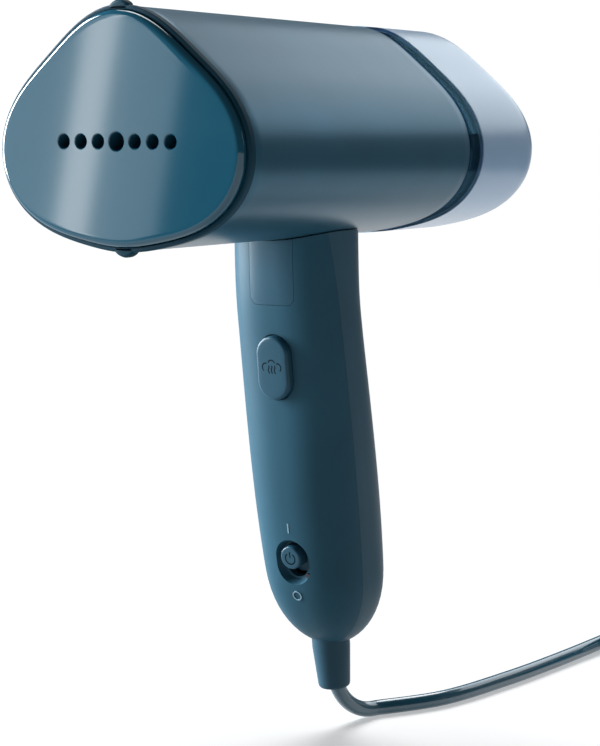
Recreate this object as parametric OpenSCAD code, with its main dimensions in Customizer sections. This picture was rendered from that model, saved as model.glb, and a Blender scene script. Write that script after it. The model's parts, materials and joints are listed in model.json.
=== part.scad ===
// Hand-held garment steamer: a steam head that folds on top of a hand grip, with a pull-off
// water tank behind the head and a mains cord leaving the foot of the grip.
// Millimetres.  The origin is the middle of the grip's centre line, +X is the steamer's left
// hand side seen from behind, -Y points at the clothes (the steam plate), +Z is up.

/* [Steam head] */
// Height of the head at its front rim
head_height = 78; // [70:0.5:86]
// Height of the middle of the head's section above the origin
head_z = 100; // [95:0.5:110]
// Front rim of the head, ahead of the origin
rim_y = -101; // [-110:0.5:-90]
// Rear end of the closed barrel
barrel_end_y = 32; // [20:0.5:45]
// How much smaller the section gets from the rim to the barrel's end
head_taper = 0.0494; // [0:0.001:0.1]
// How far the section's middle drops from the rim to the barrel's end
head_droop = 3.26; // [0:0.05:6]
// Section: average radius
sec_mean = 42.76; // [38:0.01:48]
// Section: how much the top stands further out than the bottom
sec_egg = 5.26; // [0:0.01:8]
// Section: how much wider than tall
sec_flat = 5.84; // [0:0.01:10]
// Section: strength of the three corners
sec_tri = 1.87; // [0:0.01:4]
// Section: strength of the squaring
sec_square = 2.08; // [0:0.01:4]
// Wall of the barrel
barrel_wall = 2.25; // [1.5:0.05:4]
// Width of the rim around the plate
rim_width = 1.6; // [1:0.1:4]

/* [Steam plate] */
// How far the plate's face stands ahead of the rim
plate_proud = 2.5; // [1:0.1:5]
// Height of the row of steam holes
hole_z = 103.3; // [95:0.1:115]
// Radius of the middle steam hole
hole_mid_r = 3.15; // [1:0.05:5]
// Radius of the six side steam holes
hole_side_r = 2.5; // [1:0.05:4]
// Distance from the middle hole to the first side hole
hole_first = 7.45; // [6:0.05:12]
// Distance between side holes
hole_pitch = 7.1; // [6:0.05:12]

/* [Water tank] */
// Rear end of the tank
tank_end_y = 84; // [70:0.5:100]
// Length of the rounding at the tank's rear end
tank_round = 12; // [4:0.5:20]
// How far that rounding comes in
tank_round_in = 9; // [4:0.5:20]
// Rear end of the dark collar that the tank slides over
collar_end_y = 43.5; // [38:0.5:48]
// Thickness of the tank's wall
tank_wall = 1.6; // [1:0.1:3]
// Radius of the filling hole
filler_r = 8.1; // [6:0.1:12]

/* [Grip] */
// Half width of the grip at the top
grip_half_width = 22.4; // [18:0.1:26]
// Half depth of the grip at the top
grip_half_depth = 16; // [14:0.1:20]
// Extra half depth at the palm
grip_swell = 3.6; // [0:0.1:6]
// Backward lean of the grip, mm of depth per mm of height
grip_lean = 0.15; // [0:0.005:0.3]
// Squareness of the grip's section
grip_power = 2.5; // [2:0.1:4]
// Height where the rounded foot begins
foot_z = -50; // [-60:1:-40]
// Length of the rounded foot
foot_len = 31; // [15:1:40]
// Wall of the grip's shells
grip_wall = 2.4; // [1.5:0.1:4]
// Gap between the grip's top and the head's belly
belly_gap = 0.4; // [0.2:0.05:1]

/* [Fold hinge] */
// Depth position of the hinge axis
hinge_y = 9.6; // [6:0.1:12]
// Height of the hinge axis
hinge_z = 62; // [58:0.1:64]
// Radius of the hinge pin
hinge_pin_r = 2; // [1:0.1:3]
// Radius of the hinge knuckles
knuckle_r = 4; // [3:0.1:5]

/* [Controls] */
// Height of the steam trigger's middle
trigger_z = 22.9; // [15:0.1:30]
// Width of the steam trigger
trigger_w = 13.4; // [10:0.1:20]
// Height of the steam trigger
trigger_h = 22.5; // [18:0.1:30]
// Height of the power switch recess
power_z = -47.4; // [-52:0.1:-40]
// Radius of the power slider's button
slider_r = 4.2; // [3:0.1:5]
// Travel of the power slider
slider_travel = 3.8; // [2:0.1:5]
// Width of the head release panel
release_w = 18.3; // [12:0.1:24]
// Lower edge of the head release panel
release_z = 44.8; // [40:0.1:50]

/* [Cord] */
// Radius of the cord
cord_r = 2.9; // [2.5:0.05:4]
// Height of the surface that the cord lies on
floor_z = -113; // [-130:0.5:-100]
// Bending radius below the boot
cord_bend = 22.7; // [15:0.1:40]
// Average radius of the coiled cord
coil_r = 32; // [28:0.5:40]

/* [Hidden] */
HN = 60;            // sides of the head's lofts
GN = 40;            // sides of the grip's outer loft
GI = 32;            // sides of the grip's inner loft
$fn = 48;
hs = head_height / 78;
barrel_len = barrel_end_y - rim_y;
plate_y = rim_y - plate_proud;
lean_top = -6.6;    // grip centre line at the top
coil_x = 66.5;
coil_y = 196;
plug_x = 98;

// ---------- shapes of the head and the grip ----------

// radius of the head's section at an angle from its top
function head_r(t) = hs * (sec_mean + sec_egg * cos(t) - sec_flat * cos(2 * t)
  + sec_tri * cos(3 * t) + sec_square * cos(4 * t));
// one ring of the head's outside at depth y, moved inwards by inset
function head_ring(y, inset = 0) = let (f = (y - rim_y) / barrel_len, k = 1 - head_taper * f,
    zc = head_z - head_droop * f)
  [for (i = [0 : HN - 1]) let (t = 360 * i / HN, r = head_r(t) * k - inset)
    [r * sin(t), y, zc + r * cos(t)]];

// centre line of the grip
function grip_y(z) = lean_top + grip_lean * ((47 - z) + sqrt(pow(47 - z, 2) + 64)) / 2;
function ramp(t) = let (c = max(0, min(1, t))) c * c * (3 - 2 * c);
function foot(z, z0, len) = z > z0 ? 1 : sqrt(max(0.0001, 1 - pow(min(1, (z0 - z) / len), 2.5)));
function grip_a(z) = grip_half_width - 0.00035 * pow(min(z - 25, 0), 2);
function grip_b(z) = grip_half_depth + grip_swell * ramp((50 - z) / 85)
  - 0.0012 * pow(min(z + 33, 0), 2);
function grip_ring(z, n, inset = 0, z0 = foot_z, len = foot_len) =
  let (f = foot(z, z0, len), a = (grip_a(z) - inset) * f, b = (grip_b(z) - inset) * f)
  [for (i = [0 : n - 1]) let (t = 360 * i / n,
      r = pow(pow(abs(cos(t)) / a, grip_power) + pow(abs(sin(t)) / b, grip_power), -1 / grip_power))
    [r * cos(t), grip_y(z) + r * sin(t), z]];
// front of the grip on its middle line, and how far it leans there
function front_y(z) = grip_y(z) - grip_b(z) * foot(z, foot_z, foot_len);
function front_tilt(z) = atan((front_y(z - 1) - front_y(z + 1)) / 2);

// closed solid through a list of rings
module loft(rings) {
  n = len(rings[0]);
  m = len(rings);
  polyhedron([for (r = rings) for (p = r) p], concat(
    [[for (i = [0 : n - 1]) i]],
    [[for (i = [n - 1 : -1 : 0]) (m - 1) * n + i]],
    [for (j = [0 : m - 2]) for (i = [0 : n - 1]) for (h = [0, 1]) let (k = (i + 1) % n)
      h == 0 ? [j * n + i, (j + 1) * n + i, (j + 1) * n + k] : [j * n + i, (j + 1) * n + k, j * n + k]]));
}
// closed band through a list of rings, the last joined to the first
module band(rings) {
  n = len(rings[0]);
  m = len(rings);
  polyhedron([for (r = rings) for (p = r) p],
    [for (j = [0 : m - 1]) for (i = [0 : n - 1]) for (h = [0, 1])
      let (k = (i + 1) % n, q = (j + 1) % m)
      h == 0 ? [j * n + i, q * n + i, q * n + k] : [j * n + i, q * n + k, j * n + k]]);
}
function unit(v) = v / norm(v);
// round rod along a list of points, none of whose steps runs along X
module rod(pts, r, n) {
  m = len(pts);
  loft([for (j = [0 : m - 1])
    let (d = unit(pts[min(j + 1, m - 1)] - pts[max(j - 1, 0)]),
      u = unit([1, 0, 0] - d[0] * d), v = cross(d, u))
    [for (i = [0 : n - 1]) let (t = 360 * i / n) pts[j] + r * (cos(t) * u + sin(t) * v)]]);
}
// helical spring along +Y from the origin
module coil_spring(length, r, wire, turns) {
  steps = turns * 12;
  loft([for (j = [0 : steps]) let (a = 30 * j, c = [r * cos(a), wire + (length - 2 * wire) * j / steps, r * sin(a)],
      u = [cos(a), 0, sin(a)])
    [for (i = [0 : 4]) let (t = 72 * i) c + wire * (cos(t) * u + sin(t) * [0, 1, 0])]]);
}
// smooth curve through points, steps per span
function spline(p, steps) = [for (i = [0 : len(p) - 2]) for (s = [0 : steps - 1])
    let (a = p[max(i - 1, 0)], b = p[i], c = p[i + 1], d = p[min(i + 2, len(p) - 1)], t = s / steps)
    0.5 * (2 * b + (c - a) * t + (2 * a - 5 * b + 4 * c - d) * t * t + (3 * b - a - 3 * c + d) * t * t * t),
  p[len(p) - 1]];

module head_solid(y0, y1, inset = 0) loft([head_ring(y0, inset), head_ring(y1, inset)]);
module grip_outer() loft(concat(
  [for (t = [0.985, 0.95, 0.9, 0.82, 0.72, 0.6, 0.45, 0.25]) grip_ring(foot_z - t * foot_len, GN)],
  [for (z = [foot_z, -40, -30, -20, -10, 0, 10, 20, 30, 38, 46, 54, 72]) grip_ring(z, GN)]));
module grip_inner() loft(concat(
  [for (t = [0.97, 0.88, 0.72, 0.5, 0.25]) grip_ring(foot_z - t * (foot_len - grip_wall), GI, grip_wall, foot_z, foot_len - grip_wall)],
  [for (z = [foot_z, -36, -22, -8, 6, 20, 34, 48, 63]) grip_ring(z, GI, grip_wall)]));
// side 0 is the front half of the grip, side 1 the rear half
module grip_half(side) translate([0, -1.2, 0]) rotate([8.42, 0, 0])
  translate([-40, side == 0 ? -60.04 : 0.04, -130]) cube([80, 60, 230]);
module belly() head_solid(-60, 60, -belly_gap);

// frames standing on the grip's front, local -Y outwards
module on_front(z) translate([0, front_y(z), z]) rotate([front_tilt(z), 0, 0]) children();
// frame of the cord's exit, local -Z downwards out of the foot
module on_boot() translate([0, 11.9, -81.8]) rotate([6.8, 0, 0]) children();
// upright lozenge w by h, extruded from depth d0 to d1 in the local +Y direction
module lozenge(w, h, d0, d1) translate([0, d1, 0]) rotate([90, 0, 0]) linear_extrude(d1 - d0) union() {
  translate([0, (h - w) / 2]) circle(w / 2);
  translate([0, (w - h) / 2]) circle(w / 2);
  square([w, h - w], center = true);
}
// rod along Y
module y_rod(x, z, r, y0, y1) translate([x, y1, z]) rotate([90, 0, 0]) cylinder(h = y1 - y0, r = r);
module y_tube(x, z, r, bore, y0, y1) difference() {
  y_rod(x, z, r, y0, y1);
  y_rod(x, z, bore, y0 - 1, y1 + 1);
}
module x_rod(y, z, r, x0, x1) translate([x0, y, z]) rotate([0, 90, 0]) cylinder(h = x1 - x0, r = r);
// box given by its two corners
module box(a, b) translate(a) cube(b - a);

// ---------- grip ----------

module screw_bosses(r) {
  for (s = [-1, 1]) {
    y_rod(15 * s, 44, r, -40, 40);
    y_rod(11.5 * s, -57, r, -40, 45);
  }
}
module boot_seat() on_boot() {
  translate([0, 0, -12]) cylinder(h = 18, r = 7.05);
  translate([0, 0, 4.95]) cylinder(h = 3.5, r = 9.15);
}
module power_dish() on_front(power_z) {
  for (s = [-1, 1]) translate([0, 3.2, s]) rotate([90, 0, 0]) cylinder(h = 4.2, r1 = 5.6, r2 = 7.4);
  slider_slot(slider_r + 0.25);
}
module slider_slot(r) translate([0, 0, 0.1])
  lozenge(2 * r, 2 * r + slider_travel, 2, 12);
module lamp_hole(r) on_front(power_z) y_rod(4.9, -5.0, r, -1, 5.6);

module handle_front_shell() color([0.24, 0.38, 0.46]) difference() {
  intersection() {
    grip_outer();
    grip_half(0);
  }
  difference() {
    grip_inner();
    screw_bosses(4.2);
    on_front(power_z) y_rod(0, 0, 10, 0, 6);
  }
  belly();
  box([-release_w / 2 - 0.25, -40, release_z - 0.25], [release_w / 2 + 0.25, -14, 80]);
  on_front(trigger_z) lozenge(trigger_w + 0.5, trigger_h + 0.5, -6, 6);
  power_dish();
  lamp_hole(0.85);
  for (s = [-1, 1]) {
    y_rod(15 * s, 44, 1.52, -15, 0);
    y_rod(11.5 * s, -57, 1.52, -4, 20);
  }
  boot_seat();
}
module handle_rear_shell() color([0.28, 0.42, 0.5]) difference() {
  union() {
    difference() {
      intersection() {
        grip_outer();
        grip_half(1);
      }
      difference() {
        grip_inner();
        screw_bosses(4.2);
        // walls that carry the springs and the switches
        box([-30, -9.2, 48], [30, -7.6, 60]);
        on_front(trigger_z) box([-30, 15.4, -13], [30, 17, 11]);
        on_front(power_z) box([-30, 18, -8], [30, 19.6, 8]);
        // rest for the cord
        box([-8.5, 13.05, -68], [8.5, 40, -64]);
        // seat of the hinge knuckle
        box([-knuckle_r, 3, 55], [knuckle_r, hinge_y, 66]);
      }
      belly();
    }
    x_rod(hinge_y, hinge_z, knuckle_r, -4, 4);
  }
  x_rod(hinge_y, hinge_z, hinge_pin_r, -12, 12);
  for (s = [-1, 1]) {
    box([s * 6.8 - 2.75, 5.2, 57.5], [s * 6.8 + 2.75, 20, 80]);
    y_rod(15 * s, 44, 1.65, -20, 10);
    y_rod(15 * s, 44, 3.1, 3.6, 20);
    y_rod(11.5 * s, -57, 1.65, 0, 30);
    y_rod(11.5 * s, -57, 3.1, 18, 40);
  }
  y_rod(0, 40, 4, -12, 1);
  boot_seat();
}
module handle_screws() color([0.6, 0.6, 0.62]) for (s = [-1, 1]) {
  y_rod(15 * s, 44, 1.5, -14, 3.7);
  y_rod(15 * s, 44, 2.8, 3.65, 5.8);
  y_rod(11.5 * s, -57, 1.5, -3, 18.1);
  y_rod(11.5 * s, -57, 2.8, 18.05, 20.2);
}
module hinge_pin() color([0.65, 0.65, 0.67]) x_rod(hinge_y, hinge_z, hinge_pin_r, -9.3, 9.3);
module cord_boot() color([0.1, 0.14, 0.18]) on_boot() rotate_extrude() polygon([
  [3, 12], [5, 12], [5.2, 6.9], [9, 6.9], [9, 5], [6.9, 5], [6.9, 0], [5.8, -14.4],
  [5.5, -15], [4.95, -15.2], [3, -7.5]]);
module cord_clamp() color([0.75, 0.75, 0.72]) difference() {
  box([-8.5, 3.5, -69], [8.5, 8.6, -63]);
  translate([0, 11.9, -81.8]) rotate([6.8, 0, 0]) cylinder(h = 30, r = cord_r + 0.05);
}
module trigger_switch() color([0.12, 0.12, 0.13]) on_front(trigger_z) {
  box([-3.2, 9.5, -11.5], [3.2, 15.35, 0]);
  y_rod(0, -5, 1, 7.6, 9.6);
}
module power_switch() color([0.15, 0.15, 0.16]) on_front(power_z) difference() {
  box([-5, 8.3, -8], [5, 17.9, 8]);
  box([-1.7, 8, -3.9], [1.7, 11, 4.1]);
}
module terminal_block() color([0.85, 0.84, 0.8]) difference() {
  box([-8, 8, -20], [8, 17.4, -6]);
  for (x = [-5, 0, 5]) y_rod(x, -13, 1.6, 7, 14);
}
module pilot_lamp() color([0.8, 0.1, 0.08]) on_front(power_z) y_rod(4.9, -5.0, 0.8, 1.6, 5.4);
module on_mark() color([0.8, 0.86, 0.9]) on_front(-34.7) box([-0.24, -0.12, -1.8], [0.24, -0.01, 1.8]);
module off_mark() color([0.8, 0.86, 0.9]) on_front(-59.7) y_tube(0, 0, 1.85, 1.45, -0.25, -0.02);

// ---------- cord ----------

cord_cy = 11.9 + 0.1192 * 8.2 + cord_bend * cos(6.8);
cord_cz = -90 + cord_bend * sin(6.8);
function bend_pt(a) = [3.4 * pow((a - 186.8) / 83.2, 2), cord_cy + cord_bend * cos(a),
  max(floor_z + cord_r + 0.1, cord_cz + cord_bend * sin(a))];
lie_z = floor_z + cord_r + 0.1;
module power_cord() color([0.08, 0.13, 0.2]) rod(concat(
    [[0, 8.95, -57], [0, 10.9, -73.4], [0, 12.1, -83.5]],
    [for (a = [186.8 : 10.4 : 270]) bend_pt(a)],
    [for (p = spline([[3.4, 36, lie_z], [17, 61, lie_z], [22.5, 99, lie_z], [24.5, 135, lie_z],
      [25.8, 172, lie_z], [26.4, 191, lie_z]], 4)) if (p[1] > 41) p]), cord_r, 10);
coil_lie = floor_z + 1.1 + cord_r + 5.95;
module coil_section(grow) offset(r = cord_r + grow) square([16.5, 11.9], center = true);
module cord_coil() color([0.08, 0.13, 0.2]) translate([coil_x, coil_y, coil_lie])
  rotate_extrude() translate([coil_r, 0]) coil_section(0);
module cord_tie() color([0.05, 0.05, 0.06]) translate([coil_x - 4, coil_y + coil_r - 0.1, coil_lie])
  rotate([0, 90, 0]) rotate(90) difference() {
    linear_extrude(8) coil_section(0.95);
    translate([0, 0, -1]) linear_extrude(10) scale([1.025, 1]) coil_section(0.2);
  }
module cord_tail() color([0.08, 0.13, 0.2]) rod(spline([[91, 196, lie_z + 12.9], [91.1, 187, lie_z + 17.9],
  [91.2, 176, lie_z + 18.9], [91.6, 164, lie_z + 18.8], [92.8, 154, lie_z + 16.5], [94.6, 147, lie_z + 12.3],
  [96.8, 139.5, lie_z + 8.1], [plug_x, 132.6, floor_z + 9.2], [plug_x, 128, floor_z + 9.2]], 2), cord_r, 10);
module plug_body() color([0.08, 0.1, 0.12]) difference() {
  union() {
    translate([plug_x, 120, floor_z + 9.2]) rotate([90, 0, 0]) linear_extrude(32) union() {
      square([25.5, 18], center = true);
      square([35.5, 8], center = true);
      for (x = [-12.75, 12.75]) for (z = [-4, 4]) translate([x, z]) circle(5);
    }
    translate([plug_x, 132, floor_z + 9.2]) rotate([90, 0, 0]) cylinder(h = 13, r1 = 4.4, r2 = 7.5);
  }
  translate([plug_x, 133, floor_z + 9.2]) rotate([90, 0, 0]) cylinder(h = 6, r = cord_r + 0.4);
}
module plug_pins() color([0.75, 0.76, 0.78]) for (s = [-1, 1])
  y_rod(plug_x + 9.5 * s, floor_z + 9.2, 2.4, 69, 88);

// ---------- controls ----------

module release_button() color([0.2, 0.33, 0.41]) {
  difference() {
    intersection() {
      grip_outer();
      box([-release_w / 2, -40, release_z], [release_w / 2, -19, 80]);
    }
    belly();
  }
  // finger that reaches into the head
  box([-4, -19.6, 50], [4, -17.1, 70.5]);
}
module release_spring() color([0.7, 0.7, 0.72]) translate([0, -17.05, 54.5]) coil_spring(7.8, 2.7, 0.35, 4);
module steam_trigger() color([0.2, 0.33, 0.41]) on_front(trigger_z) difference() {
  union() {
    lozenge(trigger_w, trigger_h, -2.5, 3.5);
    lozenge(trigger_w + 2.4, trigger_h + 2.4, 3.4, 4.8);
  }
  // steam mark
  for (x = [-2, 0, 2]) box([x - 0.3, -3, -0.4], [x + 0.3, -2.2, 2.6]);
  box([-3.2, -3, -2.6], [3.2, -2.2, -1.9]);
}
module trigger_spring() color([0.7, 0.7, 0.72]) on_front(trigger_z) translate([0, 4.85, 5.6]) coil_spring(10.5, 3, 0.4, 5);
module power_slider() color([0.2, 0.33, 0.41]) on_front(power_z) difference() {
  union() {
    y_rod(0, 2.0, slider_r, -0.8, 6.3);
    box([-6, 6.15, -5.5], [6, 7.35, 9.5]);
    y_rod(0, 2.0, 1.2, 7.3, 10.4);
  }
  // power mark
  difference() {
    y_tube(0, 1.8, 1.9, 1.45, -1.2, -0.5);
    box([-0.7, -2, 2.1], [0.7, 0, 4.7]);
  }
  box([-0.22, -1.2, 2.2], [0.22, -0.5, 4.3]);
}

// ---------- steam head ----------

// rounded bump for the clothes brush clip, top and bottom of the rim
module brush_nub(z, up) translate([0, rim_y + 5, z]) rotate([90, up ? 0 : 180, 0]) linear_extrude(4.6) intersection() {
  circle(5.55);
  translate([-6, 3]) square([12, 4]);
}
module bezel() color([0.33, 0.49, 0.58]) union() {
  band([head_ring(-94, 0), head_ring(-94, 6), head_ring(-95.5, 6), head_ring(-95.5, rim_width + 0.1),
    head_ring(rim_y + 0.5, rim_width), head_ring(rim_y, rim_width - 0.4), head_ring(rim_y, 0.5),
    head_ring(rim_y + 0.6, 0)]);
  brush_nub(head_z + head_r(0) + 1.6 - 5.55, true);
  brush_nub(head_z - head_r(180) - 1.6 + 5.55, false);
}
module plate_gasket() color([0.5, 0.2, 0.15]) band([head_ring(-96.9, 1.9), head_ring(-96.9, 7),
  head_ring(-95.6, 7), head_ring(-95.6, 1.9)]);
module steam_plate() color([0.35, 0.5, 0.6]) difference() {
  loft([head_ring(plate_y, 3.6), head_ring(plate_y + 0.2, 2.8), head_ring(plate_y + 0.7, 2.15),
    head_ring(plate_y + 1.5, 1.8), head_ring(-97, 1.75)]);
  y_rod(0, hole_z, hole_mid_r, plate_y - 1, -90);
  for (s = [-1, 1]) {
    for (i = [0 : 2]) y_rod(s * (hole_first + i * hole_pitch), hole_z, hole_side_r, plate_y - 1, -90);
    for (z = [86.5, 113.5]) y_rod(23.5 * s, z, 1.65, -100, -90);
  }
}
module block_outline() union() {
  square([56, 28], center = true);
  square([48, 36], center = true);
  for (x = [-24, 24]) for (z = [-14, 14]) translate([x, z]) circle(4);
}
module element(r, x1) {
  for (s = [-1, 1]) x_rod(-87, 100 + 7.5 * s, r, -16, x1);
  translate([-16, -87, 100]) rotate([90, 0, 0]) rotate([0, 0, 90]) rotate_extrude(angle = 180) translate([7.5, 0]) circle(r);
}
module boiler_body() color([0.72, 0.73, 0.75]) difference() {
  translate([0, -80, 100]) rotate([90, 0, 0]) linear_extrude(16.9) block_outline();
  box([-25.5, -97.5, 98.5], [25.5, -93.5, 108]);
  element(3.25, 40);
  for (s = [-1, 1]) for (z = [86.5, 113.5]) y_rod(23.5 * s, z, 1.65, -98, -79);
  y_rod(0, 90, 1.5, -82, -79);
}
module boiler_cover() color([0.7, 0.71, 0.73]) difference() {
  union() {
    translate([0, -77.8, 100]) rotate([90, 0, 0]) linear_extrude(2.15) block_outline();
    y_rod(0, 90, 2.8, -78, -72);
  }
  for (s = [-1, 1]) for (z = [86.5, 113.5]) y_rod(23.5 * s, z, 1.65, -98, -70);
  y_rod(0, 90, 1.5, -82, -71);
}
module heating_element() color([0.5, 0.5, 0.52]) element(3.2, 35);
module thermostat() color([0.8, 0.8, 0.78]) {
  y_rod(-14, 104, 8, -77.75, -72);
  for (s = [-1, 1]) box([-14.5 + 4 * s, -72.1, 102], [-13.5 + 4 * s, -70, 106]);
}
module thermal_fuse() color([0.82, 0.72, 0.5]) {
  x_rod(-75.4, 104, 2.3, 7, 20);
  x_rod(-75.4, 104, 0.6, 3, 24);
}
module heat_shield() color([0.78, 0.78, 0.76]) difference() {
  head_solid(-69, -68, 3);
  y_rod(0, 90, 5, -75, -60);
  for (x = [-24, 24]) y_rod(x, 118, 4, -75, -60);
}
module plate_screws() color([0.6, 0.6, 0.62]) for (s = [-1, 1]) for (z = [86.5, 113.5]) {
  y_rod(23.5 * s, z, 1.6, -99.8, -77.6);
  y_rod(23.5 * s, z, 2.9, -77.75, -75.4);
}
module body_shell() color([0.25, 0.38, 0.46]) difference() {
  band([head_ring(-93.85, 0.3), head_ring(barrel_end_y, 0.3), head_ring(barrel_end_y, 0.3 + barrel_wall),
    head_ring(-93.85, 0.3 + barrel_wall)]);
  // slots for the hinge lugs and the window that the release finger enters
  for (s = [-1, 1]) box([s * 6.8 - 2.8, 5.2, 58], [s * 6.8 + 2.8, 14.2, 76]);
  box([-5, -20.75, 58], [5, -12, 76]);
}
module chassis() color([0.82, 0.82, 0.8]) difference() {
  union() {
    box([-19, -66, 72.9], [19, 24, 74.9]);
    box([-19, -67.9, 72.9], [19, -66, 84]);
    for (y = [-34, 4]) box([-10, y, 74.8], [10, y + 3, 88]);
  }
  y_rod(0, 90, 8.05, -60, 30);
  box([-5.5, -24, 70], [5.5, -11, 80]);
}
module pump_body() color([0.9, 0.9, 0.88]) difference() {
  union() {
    y_rod(0, 90, 8, -36, 10);
    y_rod(0, 90, 2.8, -44, 18);
  }
  y_rod(0, 90, 1.4, -45, -30);
  y_rod(0, 90, 1.4, 4, 19);
}
module pump_coil() color([0.35, 0.2, 0.12]) difference() {
  box([-14, -28, 76], [14, -1, 104]);
  y_rod(0, 90, 8.05, -30, 0);
}
module inlet_hose() color([0.85, 0.86, 0.88]) y_tube(0, 90, 4.4, 2.85, 13, 24.5);
module outlet_hose() color([0.85, 0.86, 0.88]) y_tube(0, 90, 4.4, 2.85, -73.5, -39);
module tank_dock() color([0.05, 0.12, 0.15]) difference() {
  union() {
    loft([head_ring(26, 2.75), head_ring(32.2, 2.75), head_ring(32.2, 1.5), head_ring(collar_end_y, 1.5),
      head_ring(collar_end_y, 3.6), head_ring(28, 3.6)]);
    y_rod(0, 90, 7, 27.5, 36);
    y_rod(0, 90, 2.8, 19, 26.5);
  }
  y_rod(0, 90, 4.2, 29, 40);
  y_rod(0, 90, 1.4, 15, 30);
}
module dock_seal() color([0.15, 0.15, 0.16]) y_tube(0, 90, 4.15, 3.25, 31, 34);
module hinge_bracket() color([0.62, 0.62, 0.64]) difference() {
  union() {
    box([-12, 1, 70.6], [12, 20, 72.8]);
    for (s = [-1, 1]) {
      box([s * 6.8 - 2.5, hinge_y - knuckle_r, hinge_z], [s * 6.8 + 2.5, hinge_y + knuckle_r, 71]);
      x_rod(hinge_y, hinge_z, knuckle_r, s * 6.8 - 2.5, s * 6.8 + 2.5);
    }
  }
  x_rod(hinge_y, hinge_z, hinge_pin_r + 0.05, -12, 12);
}

// ---------- water tank ----------

module water_tank() color([0.62, 0.72, 0.84, 0.35]) difference() {
  union() {
    difference() {
      loft(concat([head_ring(32.4, 0)],
        [for (t = [0, 22, 42, 60, 76, 90]) head_ring(tank_end_y - tank_round * (1 - sin(t)), tank_round_in * (1 - cos(t)))]));
      head_solid(20, 44.6, 1.3);
      loft(concat([head_ring(46.4, tank_wall)],
        [for (t = [0, 30, 60, 90]) head_ring(tank_end_y - 1.8 - (tank_round - 1.5) * (1 - sin(t)),
          tank_wall + (tank_round_in - 0.5) * (1 - cos(t)))]));
    }
    y_rod(0, 90, 6.2, 37, 45.5);
  }
  y_rod(0, 90, 3.95, 30, 50);
  y_rod(0, 98, filler_r, 75, 90);
}
module tank_valve() color([0.85, 0.86, 0.88]) difference() {
  union() {
    y_rod(0, 90, 3.9, 37.2, 47.5);
    y_rod(0, 90, 3.2, 30, 37.5);
    y_rod(0, 90, 1.3, 47, 51);
  }
  y_rod(0, 90, 0.7, 29, 52);
}
module suction_tube() color([0.88, 0.89, 0.9]) union() {
  y_tube(0, 90, 2.3, 1.35, 47.6, 70);
  y_tube(0, 90, 4, 1.35, 69.8, 76);
}
module filler_stopper() color([0.2, 0.3, 0.38]) {
  y_rod(0, 98, filler_r - 0.1, 81.2, 84.3);
  y_rod(0, 98, filler_r + 2.2, 84.15, 85.8);
  box([-2, 85.6, 101], [2, 88.2, 107]);
}

handle_front_shell();
handle_rear_shell();
handle_screws();
hinge_pin();
cord_boot();
cord_clamp();
trigger_switch();
power_switch();
terminal_block();
pilot_lamp();
on_mark();
off_mark();
power_cord();
cord_coil();
cord_tie();
cord_tail();
plug_body();
plug_pins();
release_button();
release_spring();
steam_trigger();
trigger_spring();
power_slider();
bezel();
plate_gasket();
steam_plate();
boiler_body();
boiler_cover();
heating_element();
thermostat();
thermal_fuse();
heat_shield();
plate_screws();
body_shell();
chassis();
pump_body();
pump_coil();
inlet_hose();
outlet_hose();
tank_dock();
dock_seal();
hinge_bracket();
water_tank();
tank_valve();
suction_tube();
filler_stopper();
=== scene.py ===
"""Looks of a hand-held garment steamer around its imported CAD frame. Lengths are written in
millimetres in the row frame and turned into metres when a mesh is made."""
import json
import math

import bpy
import numpy as np
from mathutils import Matrix, Quaternion, Vector


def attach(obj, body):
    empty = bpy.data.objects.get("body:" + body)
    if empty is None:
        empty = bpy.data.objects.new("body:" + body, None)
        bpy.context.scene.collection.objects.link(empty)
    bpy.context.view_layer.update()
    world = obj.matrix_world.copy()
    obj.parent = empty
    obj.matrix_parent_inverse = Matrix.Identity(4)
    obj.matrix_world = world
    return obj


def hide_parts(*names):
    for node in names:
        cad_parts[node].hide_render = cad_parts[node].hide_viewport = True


MM = 0.001
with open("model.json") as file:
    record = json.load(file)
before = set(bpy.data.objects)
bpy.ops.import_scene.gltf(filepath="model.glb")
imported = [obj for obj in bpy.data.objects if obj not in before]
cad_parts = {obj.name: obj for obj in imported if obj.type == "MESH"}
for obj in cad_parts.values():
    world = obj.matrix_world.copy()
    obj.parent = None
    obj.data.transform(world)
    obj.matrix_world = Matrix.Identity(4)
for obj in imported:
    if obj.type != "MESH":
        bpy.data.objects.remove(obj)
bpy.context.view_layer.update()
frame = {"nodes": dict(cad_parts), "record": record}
scene = bpy.context.scene

# ---------- camera ----------

CAM_AT = np.array([483.5, -688.9, 122.2])
AZ, PITCH, ROLL = (math.radians(a) for a in (35.27, 7.0, -0.82))
ahead = np.array([-math.sin(AZ) * math.cos(PITCH), math.cos(AZ) * math.cos(PITCH), -math.sin(PITCH)])
flat_right = np.array([math.cos(AZ), math.sin(AZ), 0.0])
flat_up = np.cross(flat_right, ahead)
cam_right = flat_right * math.cos(ROLL) + flat_up * math.sin(ROLL)
cam_up = flat_up * math.cos(ROLL) - flat_right * math.sin(ROLL)
cam = bpy.data.objects.new("camera", bpy.data.cameras.new("camera"))
scene.collection.objects.link(cam)
cam.matrix_world = Matrix([[cam_right[i], cam_up[i], -ahead[i], CAM_AT[i] * MM] for i in range(3)] + [[0, 0, 0, 1]])
cam.data.sensor_width = 36
cam.data.lens = 36 * 2400 / 746
cam.data.clip_start, cam.data.clip_end = 0.01, 20
scene.camera = cam

# ---------- materials ----------


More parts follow.
